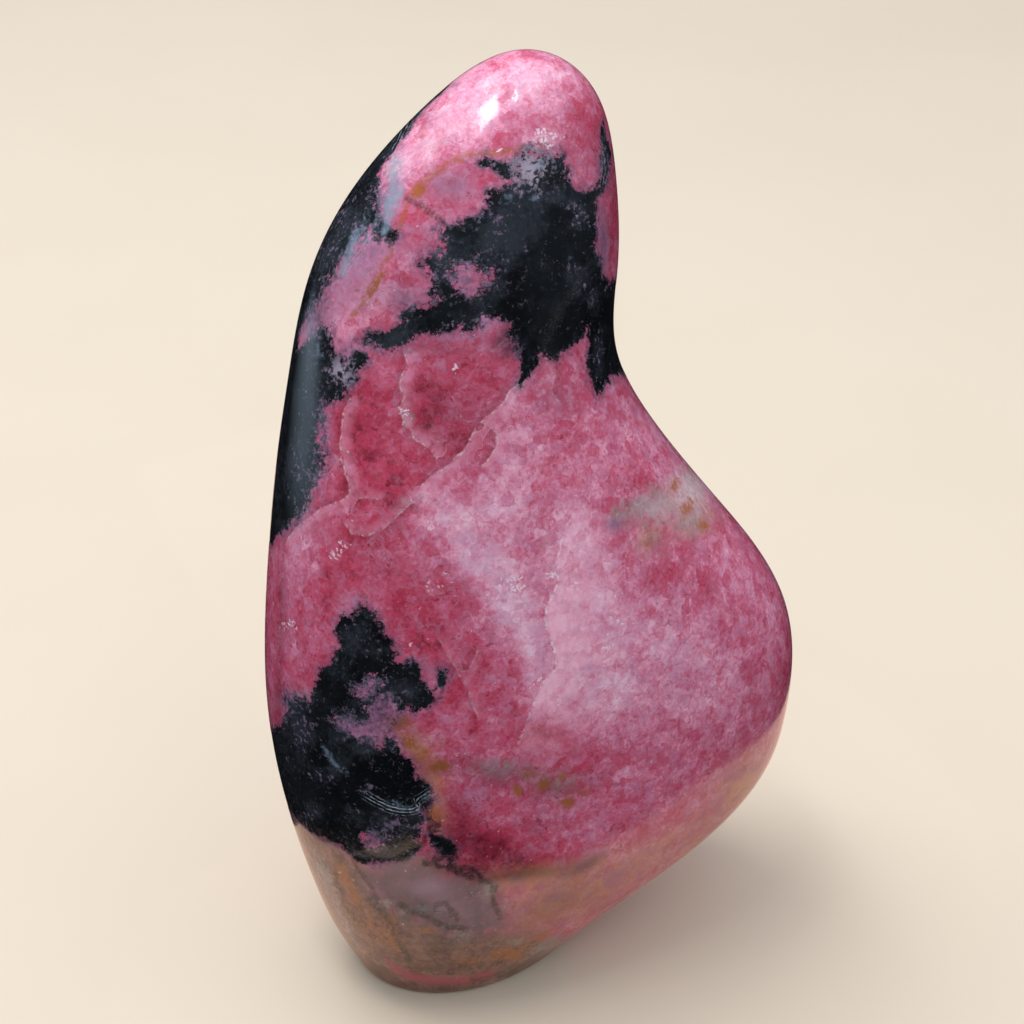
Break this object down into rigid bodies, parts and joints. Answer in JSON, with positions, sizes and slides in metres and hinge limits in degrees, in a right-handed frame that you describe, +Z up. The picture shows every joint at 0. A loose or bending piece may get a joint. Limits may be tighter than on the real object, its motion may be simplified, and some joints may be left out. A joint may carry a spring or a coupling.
{
  "type": "rhodonite freeform",
  "caption": "Polished pink and black rhodonite stone, a free-standing flame-like form with a rounded head, a hollow neck, a full shoulder and a ground flat to stand on.",
  "frame": {"origin": "on the standing surface, under the middle of the whole stone's bounding box", "axes": "+Z up; the broad faces look along -Y and +Y, and the shoulder swells out to +X"},
  "size_m": [0.0896, 0.0536, 0.1475],
  "materials": {
    "rhodonite": "high polish; granular rose to raspberry pink with near-black manganese oxide patches, ochre stains and pale healed cracks"
  },
  "bodies": {
    "root": {"rhodonite_freeform": "rhodonite"}
  },
  "joints": []
}
